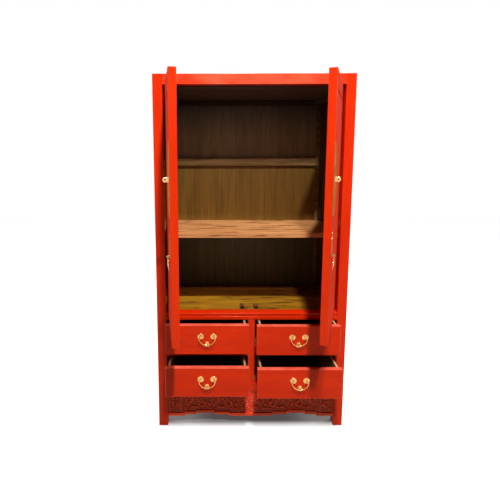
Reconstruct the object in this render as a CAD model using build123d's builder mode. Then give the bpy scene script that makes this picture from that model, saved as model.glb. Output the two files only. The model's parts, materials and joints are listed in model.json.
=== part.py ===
"""Two-door cabinet over four drawers, lacquered wood with brass fittings.

Frame: +X to the right, +Y to the back, +Z up, millimetres. The origin is on the floor,
in the middle of the ground that the cabinet covers with its doors swung open.
Depths are written from the plane of the front posts, at y = front.
"""

import os
from math import cos, radians, sin

from build123d import *

os.makedirs("parts", exist_ok=True)

# ---- driving dimensions, in millimetres and degrees ----

width = 1016
depth = 508
height = 1892
post = 50  # square section of the four corner posts
ease = 2  # softened arrises of the lacquered frame

# heights of the front frame members, bottom to top
apron_top = 205
bottom_rail_top = 243
drawer_rail_bottom = 410
drawer_rail_top = 452
mid_rail_bottom = 615.5
mid_rail_top = 653.5
shelf_top = 1079
top_rail_bottom = 1840

rail_depth = 45  # front rails between and under the drawers
stile_half = 18.5  # half width of the stile between the drawers
tenon = 18
tenon_thick = 12
groove = 8  # depth of the grooves that hold the panels

back_face = 470  # inner side of the thin back rails
board_back = 495  # inner side of the back boards
batten_inner = 438
side_rail_inner = 470
panel_thick = 10
shelf_thick = 25
floor_thick = 13.5
ceiling_bottom = 1826

# doors, measured from the pivot's axis
door_pivot = 26.5  # pivot to the post's inner face
door_pivot_depth = 25  # pivot behind the front plane
door_reach = 430  # pivot to the meeting edge
door_thick = 34.8
door_bottom = mid_rail_top + 3
door_top = top_rail_bottom - 2
stile_width = 62
left_open = 81.4
right_open = 69.3
pivot_radius = 8
pivot_clearance = 0.5

# drawers
drawer_fronts = {  # name: (side, row, how far it stands out)
    "upper_left": (-1, "upper", 66),
    "upper_right": (1, "upper", 76),
    "lower_left": (-1, "lower", 116),
    "lower_right": (1, "lower", 131),
}
row_bottom = {"lower": bottom_rail_top, "upper": drawer_rail_top}
front_height = 159.5
front_thick = 25
drawer_gap = 1.5
box_inset = 14.5
box_side = 10
box_depth = 430

# brass
lock_radius = 160
lock_height = 1389
staple_hole = 3.5
rose_radius = 16.5
rest_radius = 14
post_spacing = 67
pull_above_middle = 19
bail_half_width = 42
bail_drop = 38.5
bail_wire = 2.4
bail_turn = 4
bail_stand = 13
pin_clearance = 0.3

open_reach = door_reach * sin(radians(left_open)) + door_thick / 2 * cos(radians(left_open))
front = (open_reach - door_pivot_depth - depth) / 2
half = width / 2
inner = half - post
pivot_x = inner - door_pivot


def keep(name, piece):
    """Label a finished piece and write it as its own file."""
    piece.label = name
    export_step(piece, "parts/" + name + ".step")


def block(x, y, z, mode=Mode.ADD):
    """A straight box between limits, y measured back from the front plane."""
    middle = ((x[0] + x[1]) / 2, front + (y[0] + y[1]) / 2, (z[0] + z[1]) / 2)
    with Locations(middle):
        Box(x[1] - x[0], y[1] - y[0], z[1] - z[0], mode=mode)


def both_sides(x, y, z, mode=Mode.ADD):
    """The same box on the right and, mirrored, on the left."""
    block(x, y, z, mode)
    block((-x[1], -x[0]), y, z, mode)


def soften(piece, axis, radius=ease):
    """Round the long edges of a member that runs along one axis."""
    fillet(piece.edges().filter_by(axis), radius)


# ---- carcass frame ----

front_rails = {
    "top": (top_rail_bottom, height),
    "mid": (mid_rail_bottom, mid_rail_top),
    "drawer": (drawer_rail_bottom, drawer_rail_top),
    "bottom": (apron_top, bottom_rail_top),
}
back_rail_heights = [
    (1795, ceiling_bottom),
    (1429, 1473),
    (602, mid_rail_top - floor_thick),
    (414, drawer_rail_top),
    (apron_top, bottom_rail_top),
]
side_rail_heights = [(1840, height), (602, mid_rail_top), (apron_top, bottom_rail_top)]
front_tenon_y = (19, 31)
back_tenon_y = (477, 489)
side_tenon_x = (483, 495)
panel_x = (484, 484 + panel_thick)


def inside(span, margin):
    """A height range drawn in from both ends, for a tenon's height."""
    return (span[0] + margin, span[1] - margin)


def make_front_post(name, side):
    x_out = (inner, half)
    reach = (inner, inner + tenon)
    with BuildPart() as piece:
        block(x_out, (0, post), (0, height))
        soften(piece, Axis.Z)
        for span in front_rails.values():
            block(reach, front_tenon_y, inside(span, 6), Mode.SUBTRACT)
        for span in side_rail_heights:
            block(side_tenon_x, (post - tenon, post), inside(span, 6), Mode.SUBTRACT)
        for low, high in zip(side_rail_heights[1:], side_rail_heights):
            block(panel_x, (post - groove, post), (low[1], high[0]), Mode.SUBTRACT)
        if side < 0:
            mirror(about=Plane.YZ, mode=Mode.REPLACE)
    keep(name, piece.part)


def make_back_post(name, side):
    reach = (inner, inner + tenon)
    with BuildPart() as piece:
        block((inner, half), (depth - post, depth), (0, height))
        soften(piece, Axis.Z)
        block(reach, back_tenon_y, inside((top_rail_bottom, height), 6), Mode.SUBTRACT)
        for span in back_rail_heights:
            block(reach, back_tenon_y, inside(span, 4), Mode.SUBTRACT)
        for span in side_rail_heights:
            y_range = (depth - post, depth - post + tenon)
            block(side_tenon_x, y_range, inside(span, 6), Mode.SUBTRACT)
        for low, high in zip(side_rail_heights[1:], side_rail_heights):
            y_range = (depth - post, depth - post + groove)
            block(panel_x, y_range, (low[1], high[0]), Mode.SUBTRACT)
        if side < 0:
            mirror(about=Plane.YZ, mode=Mode.REPLACE)
    keep(name, piece.part)


make_front_post("front_right_post", 1)
make_front_post("front_left_post", -1)
make_back_post("back_right_post", 1)
make_back_post("back_left_post", -1)

top_groove = (height - 16, height - 8)

with BuildPart() as top_front_rail:
    block((-inner, inner), (0, post), front_rails["top"])
    soften(top_front_rail, Axis.X)
    both_sides((inner, inner + tenon), front_tenon_y, inside(front_rails["top"], 6))
    block((-inner, inner), (post - groove, post), top_groove, Mode.SUBTRACT)
    for x in (-pivot_x, pivot_x):
        with Locations((x, front + door_pivot_depth, top_rail_bottom + 18)):
            Cylinder(pivot_radius + pivot_clearance, 36, mode=Mode.SUBTRACT)
keep("top_front_rail", top_front_rail.part)

# the rail under the doors has a bead along its upper front edge, over a sunk line
sunk_line = (mid_rail_top - 17, mid_rail_top - 11)
with BuildPart() as mid_front_rail:
    block((-inner, inner), (0, post), front_rails["mid"])
    block((-inner, inner), (0, 5), sunk_line, Mode.SUBTRACT)
    fillet(mid_front_rail.edges().filter_by(Axis.X).group_by(Axis.Y)[0], 2.8)
    both_sides((inner, inner + tenon), front_tenon_y, inside(front_rails["mid"], 6))
    for x in (-pivot_x, pivot_x):
        with Locations((x, front + door_pivot_depth, mid_rail_top - 9)):
            Cylinder(pivot_radius + pivot_clearance, 18, mode=Mode.SUBTRACT)
keep("mid_front_rail", mid_front_rail.part)

with BuildPart() as bottom_front_rail:
    block((-inner, inner), (0, rail_depth), front_rails["bottom"])
    soften(bottom_front_rail, Axis.X)
    both_sides((inner, inner + tenon), front_tenon_y, inside(front_rails["bottom"], 6))
keep("bottom_front_rail", bottom_front_rail.part)

with BuildPart() as centre_stile:
    block((-stile_half, stile_half), (0, rail_depth), (bottom_rail_top, mid_rail_bottom))
    soften(centre_stile, Axis.Z)
    both_sides((stile_half - tenon_thick, stile_half), front_tenon_y,
               inside(front_rails["drawer"], 6), Mode.SUBTRACT)
keep("centre_stile", centre_stile.part)

with BuildPart() as drawer_rails:
    both_sides((stile_half, inner), (0, rail_depth), front_rails["drawer"])
    soften(drawer_rails, Axis.X)
    both_sides((inner, inner + tenon), front_tenon_y, inside(front_rails["drawer"], 6))
    both_sides((stile_half - tenon_thick, stile_half), front_tenon_y,
               inside(front_rails["drawer"], 6))
keep("drawer_rails", drawer_rails.part)

with BuildPart() as side_rails:
    for span in side_rail_heights:
        both_sides((side_rail_inner, half), (post, depth - post), span)
    soften(side_rails, Axis.Y)
    for span in side_rail_heights:
        both_sides(side_tenon_x, (post - tenon, post), inside(span, 6))
        both_sides(side_tenon_x, (depth - post, depth - post + tenon), inside(span, 6))
    for low, high in zip(side_rail_heights[1:], side_rail_heights):
        both_sides(panel_x, (post, depth - post), (low[1] - groove, low[1]), Mode.SUBTRACT)
        both_sides(panel_x, (post, depth - post), (high[0], high[0] + groove), Mode.SUBTRACT)
keep("side_rails", side_rails.part)

with BuildPart() as side_panels:
    for low, high in zip(side_rail_heights[1:], side_rail_heights):
        y_range = (post - groove + 0.5, depth - post + groove - 0.5)
        both_sides(panel_x, y_range, (low[1], high[0]))
        both_sides(panel_x, (post, depth - post), (low[1] - groove + 0.5, high[0] + groove - 0.5))
keep("side_panels", side_panels.part)

# back: a full rail at the top, thin rails and two battens that the boards are nailed to
with BuildPart() as back_rails:
    block((-inner, inner), (depth - post, depth), (top_rail_bottom, height))
    soften(back_rails, Axis.X)
    both_sides((inner, inner + tenon), back_tenon_y, inside((top_rail_bottom, height), 6))
    block((-inner, inner), (depth - post, depth - post + groove), top_groove, Mode.SUBTRACT)
    for span in back_rail_heights:
        block((-inner, inner), (back_face, board_back), span)
        both_sides((inner, inner + tenon), back_tenon_y, inside(span, 4))
    for low, high in zip(back_rail_heights[1:], back_rail_heights):
        both_sides((batten_inner, inner), (back_face, board_back), inside((low[1], high[0]), 0.2))
keep("back_rails", back_rails.part)

board_count = 7
board_width = 2 * inner / board_count
with BuildPart() as back_boards:
    for i in range(board_count):
        x = -inner + i * board_width
        block((x + 0.4, x + board_width - 0.4), (board_back, depth - 2), (apron_top, 1839.5))
keep("back_boards", back_boards.part)

with BuildPart() as top_panel:
    block((-side_rail_inner, side_rail_inner), (post, depth - post), (height - 16, height))
    block((-inner, inner), (post - groove + 0.5, depth - post + groove - 0.5), top_groove)
keep("top_panel", top_panel.part)

ceiling_joints = (post, 184, 320, depth - post)
with BuildPart() as ceiling_boards:
    for low, high in zip(ceiling_joints, ceiling_joints[1:]):
        block((-inner, inner), (low + 0.5, high - 0.5), (ceiling_bottom, top_rail_bottom - 2))
keep("ceiling_boards", ceiling_boards.part)


def deck(x, z):
    """A horizontal board behind the front posts, notched round the back posts."""
    block((-x, x), (post + 0.5, depth - post - 0.5), z)
    block((-inner + 0.5, inner - 0.5), (depth - post - 0.5, back_face - 0.5), z)


with BuildPart() as compartment_floor:
    deck(side_rail_inner - 0.5, (mid_rail_top - floor_thick, mid_rail_top))
keep("compartment_floor", compartment_floor.part)

with BuildPart() as middle_shelf:
    deck(panel_x[0] - 1.5, (shelf_top - shelf_thick, shelf_top))
    block((-batten_inner + 1, batten_inner - 1), (back_face - 0.5, board_back - 0.5),
          (shelf_top - shelf_thick, shelf_top))
keep("middle_shelf", middle_shelf.part)

with BuildPart() as cleats:
    both_sides((464, panel_x[0]), (post + 2, depth - post - 2), (1030, shelf_top - shelf_thick))
    both_sides((412, side_rail_inner), (post + 2, depth - post - 2), (1804, ceiling_bottom))
keep("cleats", cleats.part)

with BuildPart() as drawer_runners:
    for z in (bottom_rail_top, drawer_rail_top):
        both_sides((424, inner), (rail_depth, back_face), (z - 15, z))
        both_sides((444, inner), (rail_depth, back_face), (z, z + 20))
        block((-52, 52), (rail_depth, back_face), (z - 15, z))
        block((-33, 33), (rail_depth, back_face), (z, z + 20))
keep("drawer_runners", drawer_runners.part)

# ---- apron: two shallow stepped arches between the feet ----

apron_face = 8
apron_thick = 20
low, middle, high = 54, 63, 72  # heights of the apron's stepped lower edge
arch_steps = [(0, low), (116, low), (122, middle), (198, middle), (205, high), (297, high),
              (304, middle), (362, middle), (368, low), (inner, low)]
with BuildPart() as apron:
    with BuildSketch(Plane.XZ.offset(-front - apron_face)):
        with BuildLine():
            Polyline(*arch_steps, (inner, apron_top), (0, apron_top), close=True)
        make_face()
        mirror(about=Plane.YZ)
    extrude(amount=-apron_thick)
keep("apron", apron.part)

# ---- door stops with magnets, on the compartment floor ----

catch_places = {-1: 47, 1: 28}  # how far left and right of the middle each one stands
strike_length = 9
catch_front = door_pivot_depth + door_thick / 2 + strike_length + 0.6
with BuildPart() as door_catches:
    for side, away in catch_places.items():
        block((side * away - 12, side * away + 12), (catch_front, catch_front + 36),
              (mid_rail_top, mid_rail_top + 22))
    fillet(door_catches.edges().filter_by(Axis.Y).group_by(Axis.Z)[-1], 6)
keep("door_catches", door_catches.part)

# ---- doors ----
# Each door is drawn closed on the left, then swung or mirrored to its place.

hinge_edge = -door_pivot + 2
meeting_edge = door_reach
frame_start = hinge_edge + stile_width
frame_end = meeting_edge - stile_width
door_rail_height = 72
door_half = door_thick / 2
door_tenon = 30
tongue = (-5, 5)


def local_block(x, y, z, mode=Mode.ADD):
    """A box of the closed left door, x and y measured from its pivot's axis."""
    block((x[0] - pivot_x, x[1] - pivot_x), (y[0] + door_pivot_depth, y[1] + door_pivot_depth),
          z, mode)


def door_place(piece, side):
    """Swing a piece of the closed left door open, or mirror it for the right door."""
    if side < 0:
        axis = Axis((-pivot_x, front + door_pivot_depth, 0), (0, 0, 1))
        return piece.rotate(axis, -left_open)
    axis = Axis((pivot_x, front + door_pivot_depth, 0), (0, 0, 1))
    return piece.mirror(Plane.YZ).rotate(axis, right_open)


batten_heights = (900, 1230, 1560)
door_rails_z = [(door_bottom, door_bottom + door_rail_height), (door_top - door_rail_height, door_top)]

with BuildPart() as hinge_stile:
    local_block((hinge_edge + door_half, frame_start), (-door_half, door_half), (door_bottom, door_top))
    with Locations((hinge_edge + door_half - pivot_x, front + door_pivot_depth,
                    (door_bottom + door_top) / 2)):
        Cylinder(door_half, door_top - door_bottom)
    for z in door_rails_z:
        local_block((frame_start - door_tenon, frame_start), tongue, inside(z, 8), Mode.SUBTRACT)
    local_block((frame_start - groove, frame_start), tongue,
                (door_rails_z[0][1], door_rails_z[1][0]), Mode.SUBTRACT)
    with Locations((-pivot_x, front + door_pivot_depth, door_bottom - 10)):
        Cylinder(pivot_radius, 20)
    with Locations((-pivot_x, front + door_pivot_depth, door_top + 11)):
        Cylinder(pivot_radius, 22)

with BuildPart() as meeting_stile:
    local_block((frame_end, meeting_edge), (-door_half, door_half), (door_bottom, door_top))
    fillet(meeting_stile.edges().filter_by(Axis.Z).group_by(Axis.X)[-1], 3)
    for z in door_rails_z:
        local_block((frame_end, frame_end + door_tenon), tongue, inside(z, 8), Mode.SUBTRACT)
    local_block((frame_end, frame_end + groove), tongue,
                (door_rails_z[0][1], door_rails_z[1][0]), Mode.SUBTRACT)

with BuildPart() as door_rails:
    for z in door_rails_z:
        local_block((frame_start, frame_end), (-door_half, door_half), z)
        local_block((frame_start - door_tenon, frame_start), tongue, inside(z, 8))
        local_block((frame_end, frame_end + door_tenon), tongue, inside(z, 8))
    for edge, depth_in in ((door_rails_z[0][1], -groove), (door_rails_z[1][0], groove)):
        z = (min(edge, edge + depth_in), max(edge, edge + depth_in))
        local_block((frame_start, frame_end), tongue, z, Mode.SUBTRACT)
    for z in batten_heights:
        local_block((frame_start + 0.1, frame_end - 0.1), (5, 15), (z - 20, z + 20))

# the panel stands flush in front, with a sunk line round it
line = 4
panel_low = door_rails_z[0][1]
panel_high = door_rails_z[1][0]
with BuildPart() as door_panel:
    local_block((frame_start + line, frame_end - line), (-door_half + 1, 5),
                (panel_low + line, panel_high - line))
    fillet(door_panel.faces().sort_by(Axis.Y)[0].edges(), 3)
    local_block((frame_start - groove + 0.5, frame_end + groove - 0.5), tongue,
                (panel_low, panel_high))
    local_block((frame_start, frame_end), tongue,
                (panel_low - groove + 0.5, panel_high + groove - 0.5))

# half of a large round plate, cut where the doors meet
with BuildPart() as lock_plate:
    with BuildSketch(Plane.XZ.offset(-front - door_pivot_depth + door_half)):
        with Locations((0, lock_height)):
            Circle(lock_radius)
        with Locations((lock_radius - pivot_x + door_reach - 1, lock_height)):
            Rectangle(2 * lock_radius, 3 * lock_radius, mode=Mode.SUBTRACT)
    extrude(amount=1.6)

staple_x = meeting_edge - 14
with BuildPart() as staple:
    with BuildSketch(Plane.YZ.offset(staple_x - pivot_x)):
        face_y = front + door_pivot_depth - door_half - 1.6
        with BuildLine():
            Polyline((face_y, lock_height - 13), (face_y - 9, lock_height - 11.5))
            ThreePointArc((face_y - 9, lock_height - 11.5), (face_y - 26, lock_height),
                          (face_y - 9, lock_height + 11.5))
            Polyline((face_y - 9, lock_height + 11.5), (face_y, lock_height + 13),
                     (face_y, lock_height - 13))
        make_face()
        with Locations((face_y - 15.5, lock_height)):
            Circle(staple_hole, mode=Mode.SUBTRACT)
    extrude(amount=4)

# a small plate carries the eye that a drop pull hangs from
pull_x = meeting_edge - 31
pull_plate_z = (1046, 1163)
pull_axis_z = 1060
pull_stand = 12
pull_pin = 1.5
with BuildPart() as pull_plate:
    with BuildSketch(Plane.XZ.offset(-front - door_pivot_depth + door_half)):
        with Locations((pull_x - pivot_x, (pull_plate_z[0] + pull_plate_z[1]) / 2)):
            Ellipse(24, (pull_plate_z[1] - pull_plate_z[0]) / 2)
    extrude(amount=1.6)
    for x in (pull_x - 6, pull_x + 6):
        local_block((x - 1.5, x + 1.5), (-door_half - pull_stand - 4, -door_half - 1.6),
                    (pull_axis_z - 4, pull_axis_z + 4))
    with Locations((pull_x - pivot_x, front + door_pivot_depth - door_half - pull_stand, pull_axis_z)):
        Cylinder(pull_pin + 0.4, 16, rotation=(0, 90, 0), mode=Mode.SUBTRACT)

with BuildPart() as drop_pull:
    pull_y = front + door_pivot_depth - door_half - pull_stand
    with Locations((pull_x - pivot_x, pull_y, pull_axis_z)):
        Cylinder(pull_pin, 15, rotation=(0, 90, 0))
        Cylinder(4, 8, rotation=(0, 90, 0))
    with BuildSketch(Plane.XZ.offset(-pull_y - 2)):
        with BuildLine():
            Spline((pull_x - pivot_x, pull_axis_z - 2), (pull_x - pivot_x + 4, pull_axis_z - 14),
                   (pull_x - pivot_x + 13, pull_axis_z - 40), (pull_x - pivot_x, pull_axis_z - 62))
            Line((pull_x - pivot_x, pull_axis_z - 62), (pull_x - pivot_x, pull_axis_z - 2))
        make_face()
        mirror(about=Plane.YZ.offset(pull_x - pivot_x))
    extrude(amount=4)

# a pin low on each inner face meets the magnet of its catch
strike_z = mid_rail_top + 13


def make_strike(away):
    with BuildPart() as strike:
        with Locations((-away, front + door_pivot_depth + door_half + strike_length / 2, strike_z)):
            Cylinder(3.5, strike_length, rotation=(90, 0, 0))
    return strike


door_pieces = {
    "hinge_stile": hinge_stile,
    "meeting_stile": meeting_stile,
    "door_rails": door_rails,
    "door_panel": door_panel,
    "lock_plate": lock_plate,
    "staple": staple,
    "pull_plate": pull_plate,
    "drop_pull": drop_pull,
}
for side, side_name in ((-1, "left"), (1, "right")):
    for piece_name, piece in door_pieces.items():
        keep(side_name + "_" + piece_name, door_place(piece.part, side))
    keep(side_name + "_strike", door_place(make_strike(catch_places[side]).part, side))


# ---- drawers ----

def make_drawer(name, side, row, out):
    low = row_bottom[row] + drawer_gap
    high = low + front_height
    x_near = stile_half + 2
    x_far = inner - 2
    box_near = x_near + box_inset
    box_far = x_far - box_inset
    panel_z = (low + 7, low + 13)
    y = -out

    def span(a, b):
        return (a, b) if side > 0 else (-b, -a)

    with BuildPart() as drawer_front:
        block(span(x_near, x_far), (y, y + front_thick), (low, high))
        fillet(drawer_front.faces().sort_by(Axis.Y)[0].edges(), ease)
        for x in (box_near, box_far - box_side):
            block(span(x, x + box_side), (y + 17, y + front_thick), (low, high - 3), Mode.SUBTRACT)
        block(span(box_near, box_far), (y + 19, y + front_thick), panel_z, Mode.SUBTRACT)
    keep(name + "_drawer_front", drawer_front.part)

    with BuildPart() as drawer_box:
        for x in (box_near, box_far - box_side):
            block(span(x, x + box_side), (y + 17, y + box_depth), (low, high - 3))
        block(span(box_near + 4, box_far - 4), (y + 17, y + box_depth), panel_z, Mode.SUBTRACT)
        block(span(box_near + box_side + 0.1, box_far - box_side - 0.1),
              (y + box_depth - 14, y + box_depth - 2), (panel_z[1], high - 15))
    keep(name + "_drawer_box", drawer_box.part)

    with BuildPart() as drawer_bottom:
        block(span(box_near + 4.5, box_far - 4.5), (y + 19.5, y + box_depth - 2), panel_z)
    keep(name + "_drawer_bottom", drawer_bottom.part)


def make_pull(name, side, row, out):
    """A bail on two domed roses, and the rose that it rests on."""
    centre = side * (stile_half + inner) / 2
    axis_z = row_bottom[row] + drawer_gap + front_height / 2 + pull_above_middle
    face = front - out
    with BuildPart() as roses:
        for x in (-post_spacing / 2, post_spacing / 2):
            with Locations((centre + x, face - 2, axis_z)):
                Cylinder(rose_radius, 4, rotation=(90, 0, 0))
        with Locations((centre, face - 1.5, axis_z - bail_drop - 4)):
            Cylinder(rest_radius, 3, rotation=(90, 0, 0))
        fillet(roses.faces().filter_by(Axis.Y).group_by(Axis.Y)[0].edges(), 2)
        for x in (-post_spacing / 2, post_spacing / 2):
            with Locations((centre + x, face - (bail_stand + 5) / 2, axis_z)):
                Cylinder(4.5, bail_stand + 5, rotation=(90, 0, 0))
        with Locations((centre, face - 5, axis_z - bail_drop - bail_turn)):
            Cylinder(5, 10, rotation=(90, 0, 0))
        with Locations((centre, face - bail_stand, axis_z)):
            Cylinder(bail_wire + pin_clearance, 2 * bail_half_width, rotation=(0, 90, 0),
                     mode=Mode.SUBTRACT)
    keep(name + "_pull_roses", roses.part)

    pin_end = post_spacing / 2 - 6
    bend_start = bail_half_width - bail_turn
    with BuildPart() as bail:
        plane = Plane((centre, face - bail_stand, axis_z), x_dir=(1, 0, 0), z_dir=(0, -1, 0))
        with BuildLine(plane) as path:
            Line((-pin_end, 0), (-bend_start, 0))
            CenterArc((-bend_start, -bail_turn), bail_turn, 90, 90)
            EllipticalCenterArc((0, -bail_turn), bail_half_width, bail_drop, 180, arc_size=180)
            CenterArc((bend_start, -bail_turn), bail_turn, 0, 90)
            Line((bend_start, 0), (pin_end, 0))
        with BuildSketch(Plane(path.line @ 0, z_dir=path.line % 0)):
            Circle(bail_wire)
        sweep()
    keep(name + "_bail", bail.part)


for name, (side, row, out) in drawer_fronts.items():
    make_drawer(name, side, row, out)
    make_pull(name, side, row, out)
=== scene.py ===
"""Looks of a red lacquered wedding cabinet: lacquer, bare wood, brass and a carved apron.

Everything is in metres in the cabinet's own frame: +X right, +Y back, +Z up.
"""

import json
import math

import bmesh
import bpy
from mathutils import Matrix, Vector


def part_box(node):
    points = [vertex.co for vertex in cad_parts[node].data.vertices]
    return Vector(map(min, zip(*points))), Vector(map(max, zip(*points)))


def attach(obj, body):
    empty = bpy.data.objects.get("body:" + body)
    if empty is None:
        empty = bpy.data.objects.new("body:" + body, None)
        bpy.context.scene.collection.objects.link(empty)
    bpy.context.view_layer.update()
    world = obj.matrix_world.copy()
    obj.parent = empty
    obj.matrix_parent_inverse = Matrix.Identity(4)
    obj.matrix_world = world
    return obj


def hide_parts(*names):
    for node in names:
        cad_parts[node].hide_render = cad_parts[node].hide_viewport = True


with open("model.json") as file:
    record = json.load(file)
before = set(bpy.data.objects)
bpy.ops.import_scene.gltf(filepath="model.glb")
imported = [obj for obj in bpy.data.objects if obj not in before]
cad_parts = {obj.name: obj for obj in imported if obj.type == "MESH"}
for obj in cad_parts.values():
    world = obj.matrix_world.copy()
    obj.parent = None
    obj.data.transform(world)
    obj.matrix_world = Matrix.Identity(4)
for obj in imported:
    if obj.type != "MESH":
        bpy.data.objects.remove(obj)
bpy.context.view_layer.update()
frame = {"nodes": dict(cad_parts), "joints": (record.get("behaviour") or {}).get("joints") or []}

MM = 0.001
joints = {joint["name"]: joint for joint in frame["joints"]}
nodes = frame["nodes"]
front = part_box("front_left_post")[0].y  # the plane of the front posts
back_low, back_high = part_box("back_boards")
BOARDS = 7  # side by side across the back
board_width = (back_high.x - back_low.x) / BOARDS
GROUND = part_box("apron")[0].y  # the plane of the sunk ground of the carving

# ---------------------------------------------------------------- small helpers


def linear(code):
    """sRGB hex to linear colour."""
    channels = [int(code[i:i + 2], 16) / 255 for i in (0, 2, 4)]
    return [c / 12.92 if c <= 0.04045 else ((c + 0.055) / 1.055) ** 2.4 for c in channels] + [1]


def add(tree, kind, inputs=(), **settings):
    """Adds one node with its settings, and sets or links its inputs."""
    node = tree.nodes.new(kind)
    for key, value in settings.items():
        setattr(node, key, value)
    for socket, value in dict(inputs).items():
        if isinstance(value, bpy.types.NodeSocket):
            tree.links.new(value, node.inputs[socket])
        else:
            node.inputs[socket].default_value = value
    return node


def new_material(name):
    """A material with no nodes yet, and its tree."""
    material = bpy.data.materials.new(name)
    material.use_nodes = True
    material.node_tree.nodes.clear()
    return material, material.node_tree


def mix(tree, factor, a, b):
    """Colour a where factor is 0, b where it is 1."""
    return add(tree, "ShaderNodeMix", {0: factor, 6: a, 7: b}, data_type="RGBA").outputs[2]


def spread(tree, value, low, high, to_low=0, to_high=1):
    """Stretches a value between two limits over a new range, clamped."""
    return add(tree, "ShaderNodeMapRange", {"Value": value, "From Min": low, "From Max": high,
                                            "To Min": to_low, "To Max": to_high}).outputs[0]


def noise(tree, vector, detail=3, roughness=0.55, distortion=0):
    """One value of a cloudy noise whose lumps are as large as the cells."""
    inputs = {"Vector": vector, "Scale": 1, "Detail": detail, "Roughness": roughness,
              "Distortion": distortion}
    return add(tree, "ShaderNodeTexNoise", inputs).outputs[0]


def maths(tree, operation, *values):
    """The result of one maths node."""
    return add(tree, "ShaderNodeMath", dict(enumerate(values)), operation=operation).outputs[0]


def object_place(tree):
    """Object coordinates, which are metres in the cabinet's frame."""
    return add(tree, "ShaderNodeTexCoord").outputs["Object"]


def mapped(tree, place, **how):
    """A place that is moved, turned or scaled."""
    return add(tree, "ShaderNodeMapping", {"Vector": place, **how}).outputs[0]


def axes_of(tree, place):
    """The X, Y and Z of a place, by name."""
    return add(tree, "ShaderNodeSeparateXYZ", {0: place}).outputs


def cells(tree, size_mm, turn=0):
    """Object coordinates turned about the upright and counted in cells of a size in mm."""
    place = object_place(tree)
    if turn:
        place = mapped(tree, place, Rotation=(0, 0, turn))
    return mapped(tree, place, Scale=[1000 / s for s in size_mm])


def grain_cells(along, length, across, wide=1):
    """Sizes of cells that are long in one direction, and wider in Y on a flat sawn board."""
    return [length if axis == along else across * (wide if axis == "Y" else 1)
            for axis in "XYZ"]


def seen_directly(tree):
    """1 for rays that come from the camera, a mirror or a glass."""
    path = add(tree, "ShaderNodeLightPath").outputs
    either = maths(tree, "MAXIMUM", path["Is Camera Ray"], path["Is Glossy Ray"])
    return maths(tree, "MAXIMUM", either, path["Is Transmission Ray"])


def finish_surface(tree, colour, roughness, height, relief_mm, **sockets):
    """The surface shader with a bump of a real height."""
    bump = add(tree, "ShaderNodeBump", {"Height": height, "Distance": relief_mm * MM,
                                        "Strength": 1})
    inputs = {"Base Color": colour, "Roughness": roughness, "Normal": bump.outputs[0]}
    inputs.update({key.replace("_", " "): value for key, value in sockets.items()})
    shader = add(tree, "ShaderNodeBsdfPrincipled", inputs)
    add(tree, "ShaderNodeOutputMaterial", {"Surface": shader.outputs[0]})


# ---------------------------------------------------------------- materials

# amber lacquer: a warm, low mirror of the room, duller on the doors and clearer on the top rail
GLOSS = {"Specular_IOR_Level": 0.2, "Specular_Tint": (1, 0.45, 0.25, 1)}
DOOR_GLOSS = {"Specular_IOR_Level": 0.14, "Specular_Tint": (1, 0.9, 0.5, 1)}
CLEAR_GLOSS = {"Specular_IOR_Level": 0.3, "Specular_Tint": (1, 1, 0.65, 1)}

# how deep the grain, the gouge marks and the scratches go, in mm
LACQUER_RELIEF, WOOD_RELIEF, PART_PAINTED_RELIEF = 0.05, 0.12, 0.07
CARVED_RELIEF, BRASS_RELIEF, IRON_RELIEF = 0.8, 0.04, 0.03

# painted shade and lamp tint on bare wood: two limits on an axis and the shade reached at the
# second
CEILING_SHADE = (1.6, 1.82, "686C8A")  # painted shade: greyer and darker towards the ceiling
LAMP_TINT = (1.46, 1.44, "D8B662")  # painted warm tint of lamp light, below the back rail where the lamps reach the back
SHELF_SHADE = (1.06, 1.04, "BCDCFF")  # painted shade: cooler and darker below the shelf
SHELF_SHADOW = (front + 0.262, front + 0.27, "B09080")  # painted shadow of the shelf on the back of the floor
SHADE_DEPTH = (0.004, 0.006)  # the painted shade ends this deep in the back boards, in m

SHEEN_FROM, SHEEN_TO = 0.44, 0.3  # a coral sheen is painted on the top rail inward of these, in m off its middle
HIGHLIGHT_FROM, HIGHLIGHT_TO = 0.004, 0.001  # a painted highlight along an arris starts and is full this far from it, in m
PAINT_EDGE = 0.0004  # the width over which lacquer gives way to bare wood, in m

# the carving, in m: darker between two planes, no painted light behind two others, and a
# painted pool of light strongest this near to the middle of the apron and none that far from it
SUNK_FROM, SUNK_TO = front + 0.0035, front + 0.0075
FACE_FROM, FACE_TO = GROUND + 0.002, GROUND + 0.004
LIT_PATCH_FROM, LIT_PATCH_TO = 0.016, 0.034


def lacquer_look(tree, along, turn, light="E43006", dark="D22805"):
    """Colour, roughness and height of polished lacquer over planed boards.

    Several rubbed coats of vermilion: the eye sees a wet gloss, slow drifts of a deeper red
    where the coats are thicker, and the grain of the board just telegraphing through."""
    drift = spread(tree, noise(tree, cells(tree, grain_cells(along, 320, 70), turn)), 0.3, 0.7)
    streak = noise(tree, cells(tree, grain_cells(along, 150, 3.5), turn), 5)
    colour = mix(tree, drift, linear(light), linear(dark))
    colour = mix(tree, spread(tree, streak, 0.52, 0.75, 0, 0.35), colour, linear("9E1C04"))
    rough = spread(tree, streak, 0.3, 0.7, 0.14, 0.22)
    return colour, rough, streak


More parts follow.
